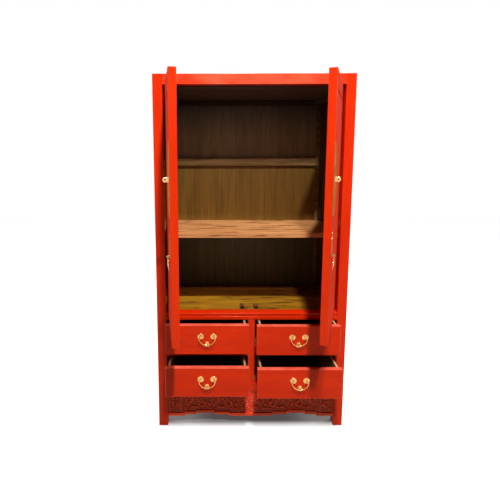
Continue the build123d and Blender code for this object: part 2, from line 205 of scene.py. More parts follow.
def wood_look(tree, along, light, dark, line, contrast=0.75, board_mm=0, wide=1):
    """Colour, roughness and height of bare planed board, with its pores and year lines.

    Boards of a width each have a tone of their own, with one of them about the middle."""
    figure = noise(tree, cells(tree, grain_cells(along, 420, 24, wide)), 3, 0.5, 0.6)
    pores = noise(tree, cells(tree, grain_cells(along, 60, 1.6)), 4, 0.7)
    colour = mix(tree, spread(tree, figure, 0.35, 0.65), linear(light), linear(dark))
    lines = noise(tree, cells(tree, grain_cells(along, 240, 9, wide)), 4, 0.6, 1.2)
    colour = mix(tree, spread(tree, lines, 0.53, 0.63, 0, contrast), colour, linear(line))
    colour = mix(tree, spread(tree, pores, 0.5, 0.8, 0, 0.35), colour, linear(line))
    if board_mm:
        x = axes_of(tree, object_place(tree))["X"]
        board = maths(tree, "FLOOR", maths(tree, "MULTIPLY_ADD", x, 1000 / board_mm, 0.5))
        tone = add(tree, "ShaderNodeTexWhiteNoise", {"W": board},
                   noise_dimensions="1D").outputs["Value"]
        colour = mix(tree, spread(tree, tone, 0, 1, 0, 0.3), colour, linear(line))
    rough = spread(tree, pores, 0.3, 0.7, 0.42, 0.62)
    return colour, rough, pores


def lacquer(name, along):
    """Polished lacquer of the posts and rails."""
    material, tree = new_material(name)
    colour, rough, streak = lacquer_look(tree, along, 0)
    finish_surface(tree, colour, rough, streak, LACQUER_RELIEF, **GLOSS)
    return material


def sheen_painted_lacquer(name):
    """Lacquer of the top rail, with a patchy coral sheen painted on it away from its ends."""
    material, tree = new_material(name)
    colour, rough, streak = lacquer_look(tree, "X", 0)
    across = maths(tree, "ABSOLUTE", axes_of(tree, object_place(tree))["X"])
    patchy = spread(tree, noise(tree, cells(tree, (160, 90, 90)), 2), 0.35, 0.65, 0.06, 0.36)
    # painted sheen: a pale coral reflection mixed into the red away from the rail's ends
    painted_sheen = maths(tree, "MULTIPLY", spread(tree, across, SHEEN_FROM, SHEEN_TO), patchy)
    colour = mix(tree, painted_sheen, colour, linear("F4805C"))
    finish_surface(tree, colour, rough, streak, LACQUER_RELIEF, **CLEAR_GLOSS)
    return material


def edge_highlight_lacquer(name, box):
    """Lacquer on a drawer front, with a pale highlight painted along its top and a little on the
    other arrises.
    """
    material, tree = new_material(name)
    colour, rough, streak = lacquer_look(tree, "X", 0)
    axes = axes_of(tree, mapped(tree, object_place(tree), Location=-(box[0] + box[1]) / 2))
    half = (box[1] - box[0]) / 2
    wear_and_highlight = spread(tree, axes["Z"], half.z - HIGHLIGHT_FROM, half.z - HIGHLIGHT_TO)
    for axis, edge in (("X", half.x), ("Z", half.z)):
        where = maths(tree, "ABSOLUTE", axes[axis])
        less = spread(tree, where, edge - HIGHLIGHT_FROM, edge - HIGHLIGHT_TO, 0, 0.35)
        wear_and_highlight = maths(tree, "MAXIMUM", less, wear_and_highlight)
    patchy = spread(tree, noise(tree, cells(tree, (60, 60, 60))), 0.3, 0.7, 0.25, 0.68)
    # painted highlight: pale coral mixed into the lacquer along the arrises
    colour = mix(tree, maths(tree, "MULTIPLY", wear_and_highlight, patchy), colour, linear("F08068"))
    finish_surface(tree, colour, rough, streak, LACQUER_RELIEF, **GLOSS)
    return material


def rubbed_lacquer(name, along="Z", turn=0):
    """Lacquer that hands have dulled: a soft sheen from the front and no mirror along it."""
    material, tree = new_material(name)
    colour, rough, streak = lacquer_look(tree, along, turn, "EE3408", "DA2A06")
    slant = add(tree, "ShaderNodeLayerWeight", {"Blend": 0.5}).outputs["Facing"]
    rough = maths(tree, "ADD", rough, spread(tree, slant, 0.5, 0.9, 0.1, 0.8))
    finish_surface(tree, colour, rough, streak, LACQUER_RELIEF, **DOOR_GLOSS)
    return material


def paint_shading(tree, colour, place, low, high, shade, where=1):
    """Painted shade: a colour times a shade that grows from one place along an axis to another."""
    amount = maths(tree, "MULTIPLY", spread(tree, place, low, high), where)
    return add(tree, "ShaderNodeMix", {0: amount, 6: colour, 7: linear(shade)},
               data_type="RGBA", blend_type="MULTIPLY").outputs[2]


def bare_wood(name, along, light, dark, line, contrast=0.75, board_mm=0, wide=1, painted_shade=()):
    """Planed hardwood that was never painted: dull, with open pores and dark year lines.

    The last argument lists light and shade painted on its inner side: axis, two limits, shade."""
    material, tree = new_material(name)
    colour, rough, pores = wood_look(tree, along, light, dark, line, contrast, board_mm, wide)
    if painted_shade:
        axes = axes_of(tree, object_place(tree))
        start, end = [back_low.y + depth for depth in SHADE_DEPTH]
        inside = spread(tree, axes["Y"], start, end, 1, 0)
        for axis, low, high, shade in painted_shade:
            colour = paint_shading(tree, colour, axes[axis], low, high, shade, inside)
    finish_surface(tree, colour, rough, pores, WOOD_RELIEF, Specular_IOR_Level=0.25)
    return material


def painted_outside(name, limits, along="Z", wood=("5E441F", "4A3418", "2C1C0E"), above=0):
    """Lacquer beyond the planes at some distances from the origin, bare wood inside with shade
    painted towards the ceiling.

    Above is the height under which it is all lacquered, as the feet are."""
    material, tree = new_material(name)
    axes = axes_of(tree, object_place(tree))
    inside = spread(tree, axes["Z"], above, above + PAINT_EDGE)
    for axis, limit in limits.items():
        near = spread(tree, maths(tree, "ABSOLUTE", axes[axis]), limit, limit + PAINT_EDGE, 1, 0)
        inside = maths(tree, "MULTIPLY", near, inside)
    colour, rough, streak = lacquer_look(tree, along, 0)
    wood_colour, wood_rough, pores = wood_look(tree, along, *wood)
    # painted shade: the bare wood inside darkens towards the ceiling
    wood_colour = paint_shading(tree, wood_colour, axes["Z"], *CEILING_SHADE)
    colour = mix(tree, inside, colour, wood_colour)
    rough = add(tree, "ShaderNodeMix", {0: inside, 2: rough, 3: wood_rough}).outputs[0]
    height = add(tree, "ShaderNodeMix", {0: inside, 2: streak, 3: pores}).outputs[0]
    finish_surface(tree, colour, rough, height, PART_PAINTED_RELIEF, **GLOSS)
    return material


def carved_lacquer():
    """The same lacquer on carving, its red painted brighter to stand in for light: darker in the
    sunk ground, gouge marks that catch the light, and a painted pool of light with painted pale
    glints on the middle of the apron."""
    material, tree = new_material("lacquer_carved_apron")
    axes = axes_of(tree, object_place(tree))
    hollow = spread(tree, axes["Y"], SUNK_FROM, SUNK_TO)
    # painted light: the relief's red is brighter than the other lacquer to stand in for light
    colour, rough, _ = lacquer_look(tree, "X", 0, "FF4814", "F43C0A")
    colour = mix(tree, hollow, colour, linear("9A1A0A"))
    gouge = noise(tree, cells(tree, (7, 7, 7)), 3)
    at_front = spread(tree, axes["Y"], FACE_FROM, FACE_TO, 1, 0)
    across = maths(tree, "ABSOLUTE", axes["X"])
    painted_light_patch = maths(tree, "MULTIPLY", spread(tree, across, LIT_PATCH_FROM, LIT_PATCH_TO, 0.75, 0),
                   at_front)
    painted_glints = maths(tree, "MULTIPLY", painted_light_patch, spread(tree, gouge, 0.58, 0.66))
    # painted light and glints: a bright red patch with pale specks in the middle of the apron
    colour = mix(tree, painted_light_patch, colour, linear("FA3C20"))
    colour = mix(tree, painted_glints, colour, linear("FFB4A4"))
    finish_surface(tree, colour, rough, gouge, CARVED_RELIEF, Specular_IOR_Level=0.35,
                   Specular_Tint=(1, 0.34, 0.14, 1))
    return material


def brass_look(name, light, dark, rough_low, rough_high, drift_mm=22, edge=(1, 1, 1, 1)):
    """Brass with slow changes of tarnish and fine scratches from wiping."""
    material, tree = new_material(name)
    wear_and_highlight = noise(tree, cells(tree, (drift_mm, drift_mm, drift_mm)), 3)
    fine = noise(tree, cells(tree, (2.5, 2.5, 2.5)), 2)
    colour = mix(tree, spread(tree, wear_and_highlight, 0.35, 0.75), linear(light), linear(dark))
    rough = spread(tree, wear_and_highlight, 0.3, 0.7, rough_low, rough_high)
    finish_surface(tree, colour, rough, fine, BRASS_RELIEF, Metallic=1, Specular_Tint=edge)
    return material


def oiled_iron():
    """Oiled iron of the strikes and the catch plates: dark grey, satin."""
    material, tree = new_material("oiled_iron")
    fine = noise(tree, cells(tree, (1.5, 1.5, 1.5)), 3)
    colour = mix(tree, fine, linear("34302C"), linear("1E1B18"))
    finish_surface(tree, colour, 0.42, fine, IRON_RELIEF, Metallic=1)
    return material


left_turn = math.radians(joints["left_door_hinge"]["range_deg"][1])
right_turn = math.radians(joints["right_door_hinge"]["range_deg"][0])

upright_lacquer = lacquer("lacquer_upright", "Z")
level_lacquer = lacquer("lacquer_level", "X")
top_lacquer = sheen_painted_lacquer("lacquer_top_rail")
door_lacquer = rubbed_lacquer("lacquer_door")
left_rail_lacquer = rubbed_lacquer("lacquer_left_door_rails", "X", left_turn)
right_rail_lacquer = rubbed_lacquer("lacquer_right_door_rails", "X", right_turn)
# the back boards get painted shade near the ceiling and below the shelf, and a painted warm lamp
# tint below the back rail
back_wood = bare_wood("camphor_back_boards", "Z", "A08C64", "8C7852", "5A4830", 0.4,
                      board_width / MM, painted_shade=[("Z", *painted_mark) for painted_mark in (LAMP_TINT, SHELF_SHADE, CEILING_SHADE)])
rail_wood = bare_wood("camphor_rails", "X", "A87C44", "85602E", "50351A")
ceiling_wood = bare_wood("camphor_ceiling", "X", "544438", "42342A", "2C1E16")
shelf_wood = bare_wood("elm_shelf", "X", "DC9C62", "C08048", "6A3A16", 0.9, wide=3.5)
# painted shadow of the shelf along the back of the floor
floor_wood = bare_wood("elm_floor", "X", "A87618", "8C5E10", "4A2E08", 0.9, wide=3.5,
                       painted_shade=[("Y", *SHELF_SHADOW)])
drawer_wood = bare_wood("poplar_drawers", "Y", "C9A77A", "B38E5C", "8C6638")
# painted shade: the drawer bottoms get a darker wood because they lie in shade
shaded_bottom_wood = bare_wood("drawer_bottoms_painted_shade", "Y", "6A4A2C", "523620", "321E0E")
catch_wood = bare_wood("walnut_catches", "X", "7A4E2C", "5E381C", "32190A")

# where lacquer starts, in m from the origin: halfway through the side panels, at the inner
# arris of the side rails, over the ceiling, behind the face of the back boards, and just
# under the top of the posts
PANEL_LIMIT, SIDE_RAIL_LIMIT, CEILING_LIMIT = 0.4889, 0.4712, 1.8385
BOARD_LIMIT, POST_TOP_LIMIT = back_low.y + 0.0005, 1.889

side_finish = painted_outside("side_panel_finish", {"X": PANEL_LIMIT})
side_rail_finish = painted_outside("side_rail_finish", {"X": SIDE_RAIL_LIMIT}, "Y")
back_rail_finish = painted_outside("back_rail_finish", {"Z": CEILING_LIMIT}, "X",
                                   ("8C6C44", "705432", "3E2A18"))
back_post_finish = painted_outside(
    "back_post_finish", {"X": PANEL_LIMIT, "Y": BOARD_LIMIT, "Z": POST_TOP_LIMIT},
    above=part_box("side_rails")[0].z)
carved = carved_lacquer()
brass = brass_look("polished_cast_brass", "ECB26C", "B47C44", 0.1, 0.2)
worn_brass = brass_look("worn_bright_brass", "F0C490", "D49C68", 0.3, 0.42)
sheet_brass = brass_look("tarnished_sheet_brass", "B08050", "8C643A", 0.3, 0.42, 70,
                         (0.7, 0.36, 0.22, 1))
iron = oiled_iron()

cad_finish = {
    upright_lacquer: ["front_left_post", "front_right_post", "centre_stile"],
    back_post_finish: ["back_left_post", "back_right_post"],
    top_lacquer: ["top_front_rail"],
    level_lacquer: ["mid_front_rail", "bottom_front_rail", "drawer_rails", "top_panel"],
    carved: ["apron"],
    side_finish: ["side_panels"],
    side_rail_finish: ["side_rails"],
    back_rail_finish: ["back_rails"],
    rail_wood: ["drawer_runners"],
    catch_wood: ["door_catches"],
    ceiling_wood: ["ceiling_boards", "cleats"],
    floor_wood: ["compartment_floor"],
    shelf_wood: ["middle_shelf"],
    left_rail_lacquer: ["left_door_rails"],
    right_rail_lacquer: ["right_door_rails"],
}
for side in ("left", "right"):
    cad_finish.setdefault(door_lacquer, []).extend(
        side + part for part in ("_hinge_stile", "_meeting_stile", "_door_panel"))
    cad_finish.setdefault(brass, []).extend(
        side + part for part in ("_lock_plate", "_staple", "_pull_plate", "_drop_pull"))
    cad_finish.setdefault(iron, []).append(side + "_strike")

drawer_names = ["upper_left", "upper_right", "lower_left", "lower_right"]
for name in drawer_names:
    finish = edge_highlight_lacquer(name + "_front_lacquer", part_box(name + "_drawer_front"))
    cad_finish[finish] = [name + "_drawer_front"]
    cad_finish.setdefault(drawer_wood, []).append(name + "_drawer_box")
    cad_finish.setdefault(shaded_bottom_wood, []).append(name + "_drawer_bottom")
    cad_finish[brass].extend([name + "_pull_roses", name + "_bail"])

for material, names in cad_finish.items():
    for name in names:
        nodes[name].data.materials.clear()
        nodes[name].data.materials.append(material)

# ---------------------------------------------------------------- making pieces

WELD = 1e-6  # points nearer than this are one, in m


def join(into, part, matrix):
    """Adds one bmesh to another, moved by a matrix."""
    mesh = bpy.data.meshes.new("part")
    part.to_mesh(mesh)
    part.free()
    mesh.transform(matrix)
    into.from_mesh(mesh)
    bpy.data.meshes.remove(mesh)


def piece(name, parts, body, material, replaces=(), smooth_angle=40):
    """Makes one piece from (bmesh, matrix) pairs, which rides on a body."""
    bm = bmesh.new()
    for part, matrix in parts:
        join(bm, part, matrix)
    bmesh.ops.remove_doubles(bm, verts=bm.verts, dist=WELD)
    bmesh.ops.dissolve_degenerate(bm, edges=bm.edges, dist=WELD)
    bmesh.ops.recalc_face_normals(bm, faces=bm.faces)
    mesh = bpy.data.meshes.new(name)
    bm.to_mesh(mesh)
    bm.free()
    for polygon in mesh.polygons:
        polygon.use_smooth = True
    mesh.set_sharp_from_angle(angle=math.radians(smooth_angle))
    made = bpy.data.objects.new(name, mesh)
    bpy.context.scene.collection.objects.link(made)
    made.data.materials.append(material)
    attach(made, body)
    if replaces:
        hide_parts(*replaces)


def at(x, y, z, axis=(0, 0, 1)):
    """Stands +Z of a part on an axis at a point in mm."""
    turn = Vector((0, 0, 1)).rotation_difference(Vector(axis)).to_matrix().to_4x4()
    return Matrix.Translation(Vector((x, y, z)) * MM) @ turn


def turned(profile, steps, angle=math.tau):
    """A turning about +Z from (radius, height) points in mm, or a part of one with flat ends."""
    bm = bmesh.new()
    points = [bm.verts.new((radius * MM, 0, height * MM)) for radius, height in profile]
    whole = angle == math.tau
    geometry = points + [bm.edges.new(pair) for pair in zip(points, points[1:])]
    if not whole:
        face = bm.faces.new(points)
        geometry = [face] + list(face.edges) + points
    bmesh.ops.spin(bm, geom=geometry, cent=(0, 0, 0), axis=(0, 0, 1), dvec=(0, 0, 0),
                   angle=angle, steps=steps, use_merge=whole, use_normal_flip=False,
                   use_duplicate=False)
    bmesh.ops.remove_doubles(bm, verts=bm.verts, dist=WELD)
    return bm


def slab(outline, thickness, edge=0, steps=2):
    """A plate on the plane of X and Y from its outline in mm, its top edge rounded."""
    bm = bmesh.new()
    face = bm.faces.new([bm.verts.new((x * MM, y * MM, 0)) for x, y in outline])
    grown = bmesh.ops.extrude_face_region(bm, geom=[face])
    top = [v for v in grown["geom"] if isinstance(v, bmesh.types.BMVert)]
    bmesh.ops.translate(bm, verts=top, vec=(0, 0, thickness * MM))
    if edge:
        rim = [e for e in bm.edges if e.verts[0] in top and e.verts[1] in top]
        bmesh.ops.bevel(bm, geom=rim, offset=edge * MM, segments=steps, profile=0.5,
                        affect="EDGES", material=-1)
    return bm


def ring_outline(reach, count=72):
    """A closed outline from a function of the angle that gives (x, y) in mm."""
    return [reach(math.tau * i / count) for i in range(count)]


def curve_mesh(lines, name, resolution=3):
    """A bmesh of round bars along lines of (x, y, z, radius) in mm."""
    curve = bpy.data.curves.new(name, "CURVE")
    curve.dimensions = "3D"
    curve.bevel_depth = 1
    curve.bevel_resolution = resolution
    curve.use_fill_caps = True
    for line in lines:
        spline = curve.splines.new("POLY")
        spline.points.add(len(line) - 1)
        for point, (x, y, z, radius) in zip(spline.points, line):
            point.co = (x * MM, y * MM, z * MM, 1)
            point.radius = radius * MM
    holder = bpy.data.objects.new(name, curve)
    bpy.context.scene.collection.objects.link(holder)
    mesh = bpy.data.meshes.new_from_object(holder.evaluated_get(
        bpy.context.evaluated_depsgraph_get()))
    bpy.data.objects.remove(holder)
    bm = bmesh.new()
    bm.from_mesh(mesh)
    bpy.data.meshes.remove(mesh)
    return bm


# ---------------------------------------------------------------- drawer pulls

# in mm
STAND = 13  # the bail's axis stands this far in front of the drawer
POST = 33.5  # from the middle to a post
PIN_END, BEND, BAIL_HALF = 27.5, 38, 42  # from the middle to an end, a bend and the side
BEND_RADIUS, DROP = 4, 38.5  # of the bail's bends, and of the bow under them
WIRE, SWELL = 2.0, 1.0  # the bail's radius at the pins, and how much it gains in the middle
OUT = (0, -1, 0)  # away from the front

rose = [(0, 6.4), (3.6, 6.2), (7, 5.3), (10.4, 3.7), (12.2, 2.9), (13.2, 3.1), (14.2, 2.9),
        (15, 2.1), (15.8, 2.0), (16.5, 1.2), (16.5, 0), (0, 0)]
knob = [(0, 18), (2.4, 17.6), (4.3, 16.2), (5.1, 14), (5.1, 12), (4.3, 9.8), (3.2, 8.2),
        (3.0, 6.8), (4.4, 5.9), (4.4, 5)]
boss = [(0, 8.6), (2.2, 8.3), (4, 7), (4.6, 5), (6.2, 4.2), (7.4, 3.2), (7.6, 2.4), (7.6, 1)]
bead = [(0, -7), (2.6, -6.8), (3.2, -5.6), (2.9, -4.6), (4.2, -3.4), (5.0, -1.6), (5.2, 0),
        (5.0, 1.6), (4.2, 3.4), (2.9, 4.6), (3.2, 5.6), (2.6, 6.8), (0, 7)]


def lobes(angle):
    """Two round lobes above and a longer one below."""
    up, across = math.sin(angle), math.cos(angle)
    reach = 11.4 + 2.2 * abs(math.sin(2 * angle)) + 4.4 * max(0, -up) ** 8 - 2 * max(0, up) ** 8
    return reach * across, 1.1 * reach * up


def bail_line():
    """The middle line of the bail from pin to pin, as (x, z) from its axis."""
    line = [(-PIN_END, 0), (-(PIN_END + BEND) / 2, 0), (-BEND, 0)]
    for i in range(1, 7):
        a = math.radians(15 * i)
        line.append((-BEND - BEND_RADIUS * math.sin(a), BEND_RADIUS * (math.cos(a) - 1)))
    for i in range(1, 33):
        a = math.pi * i / 32
        line.append((-BAIL_HALF * math.cos(a), -BEND_RADIUS - DROP * math.sin(a)))
    return line + [(-x, z) for x, z in reversed(line[:8])]


upside_down = Matrix.Rotation(math.pi, 4, "Z")  # for an outline that is laid on a front
for name in drawer_names:
    x, y, z = Vector(joints[name + "_bail_swing"]["pos_m"]) / MM
    face_y = y + STAND
    low = z - DROP - BEND_RADIUS
    parts = [(slab(ring_outline(lobes), 2.6, 1.2), at(x, face_y, low - 0.5, OUT) @ upside_down),
             (turned(boss, 24), at(x, face_y, low, OUT))]
    for side in (-1, 1):
        parts += [(turned(rose, 40), at(x + side * POST, face_y, z, OUT)),
                  (turned(knob, 24), at(x + side * POST, face_y, z, OUT))]
    piece(name + "_roses", parts, name + "_drawer", brass, [name + "_pull_roses"])
    wire = [(x + across, y, z + up, WIRE + SWELL * max(0, -up / (DROP + BEND_RADIUS)) ** 1.5)
            for across, up in bail_line()]
    parts = [(curve_mesh([wire], name), Matrix()),
             (turned(bead, 20), at(x, y, low, (1, 0, 0)))]
    piece(name + "_swinging_bail", parts, name + "_handle", brass, [name + "_bail"])

# ---------------------------------------------------------------- door brass

# in mm, along X and Y from the pivot of the closed left door and along Z from the floor
REACH, FACE = 430, -17.4  # meeting edge and outer face
LOCK_Z, NAIL_RING = 1389, 104  # centre of the round plate, and radius of its ring of nails
STAPLE_X, RING, RING_OUT, RING_IN = 418, -34.5, 10.5, 3.5  # the staple, its ring and two radii
PULL_X, PULL_Z, PULL_STAND = 399, 1060, 12  # the drop pull's eye
PLATE_MIDDLE = 1104.5  # height of the middle of its plate

# the drop's foot lies nearer to the door than its eye, and the drop is cast flat
lean = Matrix(((1, 0, 0, 0), (0, 1, -0.1, 0), (0, 0, 1, 0), (0, 0, 0, 1)))
flatten = Matrix.Diagonal((1, 0.36, 1, 1))


def swing(side):
    """From the closed left door, measured from its pivot, to a door as it stands."""
    pivot = Vector(joints[side + "_door_hinge"]["pos_m"])
    stand = Matrix.Translation((pivot.x, pivot.y, 0))
    if side == "left":
        return stand @ Matrix.Rotation(-left_turn, 4, "Z")
    return stand @ Matrix.Rotation(-right_turn, 4, "Z") @ Matrix.Diagonal((-1, 1, 1, 1))


half_plate = [(0, 0), (0, 1.3), (58, 1.3), (59, 2.0), (62, 2.4), (65, 2.0), (66, 1.3),
              (138, 1.3), (139.5, 2.0), (143, 2.0), (144.5, 1.3), (150, 1.3), (152, 2.3),
              (154.5, 2.7), (157, 2.2), (158, 0.9), (158, 0)]
nail = [(0, 3.8), (1.6, 3.5), (2.9, 2.6), (3.3, 1.2), (3.3, 0)]
eye_rose = [(0, 5.6), (3.5, 5.4), (7, 4.4), (9.2, 3.1), (10.5, 2.6), (10.5, 1)]
pendant = [(0, 2), (2.0, -1), (2.0, -4), (4.2, -6), (5.2, -9), (4.2, -12), (2.4, -14.5),
           (3.6, -17), (7.4, -20), (8.6, -24), (7.6, -27.6), (6.6, -29), (10.6, -33),
           (12.6, -38), (11.2, -43), (7.4, -47), (4.2, -49), (6.0, -52), (6.2, -55),
           (4.6, -58.6), (1.8, -61.4), (0, -62)]
knuckle = [(0, -7.5), (1.5, -7.5), (1.5, -4), (3.4, -3.4), (4, 0), (3.4, 3.4), (1.5, 4),
           (1.5, 7.5), (0, 7.5)]
eye_outline = [(-4, 0), (-4, 8), (-2.6, 13), (0, 14.6), (2.6, 13), (4, 8), (4, 0)]


def staple():
    """A flat cast staple: a wide root, a round end and a hole, with all edges eased."""
    outer = [(RING_OUT * math.cos(a), RING - RING_OUT * math.sin(a))
             for a in [math.pi * i / 24 for i in range(25)]]
    outer += [(-RING_OUT, -24), (-11.4, -21), (-13, -19), (13, -19), (11.4, -21),
              (RING_OUT, -24)]
    hole = ring_outline(lambda a: (RING_IN * math.cos(a), RING + RING_IN * math.sin(a)), 36)
    bm = bmesh.new()
    rings = []
    for outline, inset in ((outer, 0.9), (hole, -0.7)):
        middle = Vector((0, sum(y for _, y in outline) / len(outline)))
        for height, shrink in ((-2, inset), (-1.3, 0), (1.3, 0), (2, inset)):
            verts = []
            for x, y in outline:
                away = Vector((x, y)) - middle
                spot = middle + away * (1 - shrink / max(away.length, 1))
                verts.append(bm.verts.new((spot.x * MM, spot.y * MM, height * MM)))
            rings.append([bm.edges.new((v, w)) for v, w in zip(verts, verts[1:] + verts[:1])])
    # four rings make the rim and four the hole, and the flat faces lie between them
    for first in (0, 1, 2, 4, 5, 6):
        bmesh.ops.bridge_loops(bm, edges=rings[first] + rings[first + 1])
    for rim, inner in ((0, 4), (3, 7)):
        bmesh.ops.triangle_fill(bm, use_beauty=True, use_dissolve=False,
                                edges=rings[rim] + rings[inner])
    return bm


def scallops(angle):
    """A tall oval with twelve shallow notches."""
    reach = 1 - 0.09 * abs(math.sin(6 * angle)) ** 0.6
    return 24 * math.cos(angle) * reach, 58.5 * math.sin(angle) * reach


for side in ("left", "right"):
    door = swing(side)
    flat = at(REACH - 1, FACE, LOCK_Z) @ Matrix.Rotation(math.pi / 2, 4, "X") \
        @ Matrix.Rotation(math.pi / 2, 4, "Z")
    parts = [(turned(half_plate, 72, math.pi), door @ flat)]
    for degrees in range(15, 180, 30):
        a = math.radians(degrees)
        nail_x, nail_z = REACH - 1 - NAIL_RING * math.sin(a), LOCK_Z + NAIL_RING * math.cos(a)
        parts.append((turned(nail, 16), door @ at(nail_x, FACE, nail_z, OUT)))
    piece(side + "_half_moon_plate", parts, side + "_door", sheet_brass,
          [side + "_lock_plate"])

    # the staple's outline, drawn in (height, reach), is laid into the plane across the door
    across = Matrix(((0, 0, 1, STAPLE_X * MM), (0, 1, 0, 0), (1, 0, 0, LOCK_Z * MM),
                     (0, 0, 0, 1)))
    parts = [(staple(), door @ across)]
    piece(side + "_lock_staple", parts, side + "_door", worn_brass, [side + "_staple"])

    # an oval plate with two nails, a rose, and two cheeks that hold the drop's pin
    parts = [(slab(ring_outline(scallops, 144), 1.6, 0.6),
              door @ at(PULL_X, FACE, PLATE_MIDDLE, OUT) @ upside_down),
             (turned(eye_rose, 28), door @ at(PULL_X, FACE, PULL_Z, OUT))]
    for height in (PLATE_MIDDLE - 52, PLATE_MIDDLE + 50):
        parts.append((turned(nail, 16), door @ at(PULL_X, FACE, height, OUT)))
    for x in (-6, 6):
        upright = Matrix(((0, 0, 1, (PULL_X + x - 1.5) * MM), (0, -1, 0, FACE * MM),
                          (1, 0, 0, PULL_Z * MM), (0, 0, 0, 1)))
        parts.append((slab(eye_outline, 3, 0.5), door @ upright))
    piece(side + "_scalloped_plate", parts, side + "_door", sheet_brass,
          [side + "_pull_plate"])

    eye = (PULL_X, FACE - PULL_STAND, PULL_Z)
    parts = [(turned(knuckle, 16), door @ at(*eye, (1, 0, 0))),
             (turned(pendant, 24), door @ at(*eye) @ lean @ flatten)]
    piece(side + "_pendant", parts, side + "_pull", brass, [side + "_drop_pull"])

# ---------------------------------------------------------------- carved apron

# in mm
INNER = -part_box("apron")[0].x / MM  # half the apron's width, between the posts
BAND, TOP_EDGE = 15, 205  # the plain band along the arches, and the underside of the rail
END_BEADS, END_MIDDLE = (385, 451), 419  # the beads round the end panels, and their middle
MIDDLE, WAVE, WAVES = 139, 42, 5  # height, swing and half waves of the long stem
STEM_START, STEM_LENGTH = 8, 364
arch = [(0, 54), (116, 54), (122, 63), (198, 63), (205, 72), (297, 72), (304, 63), (362, 63),
        (368, 54), (INNER, 54)]
whole_arch = [(-x, z) for x, z in reversed(arch[1:])] + arch


def low_edge(x):
    """The height of the band's upper edge above a place on the apron."""
    x = abs(x)
    for (x0, z0), (x1, z1) in zip(arch, arch[1:]):
        if x <= x1:
            return z0 + (z1 - z0) * (x - x0) / (x1 - x0) + BAND
    return arch[-1][1] + BAND


strokes = []  # lines of (x, z, half width) for the right half of the apron


def curl(x, z, reach, turns, start, hand, thick=3.6):
    """A tendril that winds in to a bud."""
    count = int(16 * turns)
    line = []
    for i in range(count + 1):
        t = i / count
        angle = start + hand * math.tau * turns * t
        r = reach * (1 - 0.82 * t ** 0.85)
        line.append((x + r * math.cos(angle), z + r * math.sin(angle),
                     thick * (0.5 + 0.6 * math.sin(math.pi * min(1, 0.15 + t)))))
    strokes.append(line)
    end = line[-1]
    strokes.append([(end[0] - 2.4, end[1], 2.8), (end[0], end[1], 4.6),
                    (end[0] + 2.4, end[1], 2.8)])


def leaf(x, z, angle, length, bend, thick=4.2):
    """A comma leaf that swells from a thin stalk and ends in a point."""
    line = []
    for i in range(9):
        t = i / 8
        turn = angle + bend * t
        line.append((x, z, 0.5 + thick * math.sin(math.pi * t ** 0.75)))
        x += length / 8 * math.cos(turn)
        z += length / 8 * math.sin(turn)
    strokes.append(line)


stem = []
for i in range(61):
    t = i / 60
    stem.append((STEM_START + STEM_LENGTH * t,
                 MIDDLE + WAVE * math.cos(math.pi * WAVES * t) * (1 - 0.12 * t), 3))
strokes.append(stem)

# a curl and seven leaves in each half wave
for i in range(WAVES):
    x = STEM_START + (i + 0.5) * STEM_LENGTH / WAVES
    up = 1 if i % 2 else -1
    curl(x + 2, MIDDLE - up * 7, 27, 1.6, math.radians(90 * up), -up)
    leaf(x - 31, MIDDLE + up * 34, math.radians(-up * 20 + 10), 28, up * 0.9)
    leaf(x + 12, MIDDLE + up * 42, math.radians(up * 20), 24, -up * 1.1)
    leaf(x + 25, MIDDLE - up * 24, math.radians(-up * 55), 26, up * 1.2)
    leaf(x - 8, MIDDLE + up * 30, math.radians(up * 60), 19, -up, 3.2)
    leaf(x - 34, MIDDLE - up * 6, math.radians(-up * 70), 24, -up, 3.4)
    leaf(x + 31, MIDDLE + up * 6, math.radians(up * 75), 22, up * 0.8, 3)
    leaf(x - 20, MIDDLE - up * 44, math.radians(up * 10), 22, up * 0.7, 3)

# two curls and four leaves in each end panel
curl(END_MIDDLE, 170, 21, 1.4, math.radians(200), 1)
curl(END_MIDDLE, 122, 21, 1.4, math.radians(20), 1)
for up in (-1, 1):
    leaf(END_MIDDLE + up * 25, 146 + up * 20, math.radians(90 * up + 12), 24, -0.7, 3)
    leaf(END_MIDDLE - up * 22, 146 + up * 42, math.radians(90 * up - 30), 14, 0.7, 2.6)

lines = []
for mirror in (-1, 1):
    for stroke in strokes:
        lines.append([(mirror * x, GROUND / MM - 1.5,
                       min(TOP_EDGE - 3, max(low_edge(x) + 1, z)), half_width)
                      for x, z, half_width in stroke])
piece("apron_tendrils", [(curve_mesh(lines, "relief", 2), Matrix())], "carcass",
      carved, smooth_angle=60)

# beads that frame the carving, and the plain band along the stepped edge
half_bead = [(0, 0), (0.2, 2.2), (1.4, 3.8), (3, 4.2), (4.6, 3.8), (5.8, 2.2), (6, 0)]


def bar(section, x, z, along, length):
    """A moulding of a section in mm on the sunk ground, running up or to the right."""
    if along == "Z":
        turn = Matrix(((1, 0, 0, x * MM), (0, -1, 0, GROUND), (0, 0, 1, z * MM), (0, 0, 0, 1)))
    else:
        turn = Matrix(((0, 0, 1, x * MM), (0, -1, 0, GROUND), (1, 0, 0, z * MM), (0, 0, 0, 1)))
    return slab(section, length), turn


parts = [bar(half_bead, mirror * x - 3, low_edge(x) - 2, "Z", TOP_EDGE - low_edge(x))
         for x in END_BEADS for mirror in (-1, 1)]
parts.append(bar(half_bead, -INNER, TOP_EDGE - 6, "X", 2 * INNER))
trim = [(x, GROUND / MM - 2.6, z + BAND, 2.6) for x, z in whole_arch]
parts.append((curve_mesh([trim], "trim"), Matrix()))
piece("apron_beads", parts, "carcass", carved)

edge = whole_arch + [(x, z + BAND) for x, z in reversed(whole_arch)]
facing = Matrix(((1, 0, 0, 0), (0, 0, -1, GROUND), (0, 1, 0, 0), (0, 0, 0, 1)))
piece("apron_band", [(slab(edge, 4.6, 1.6, 3), facing)], "carcass", carved)

# ---------------------------------------------------------------- back boards

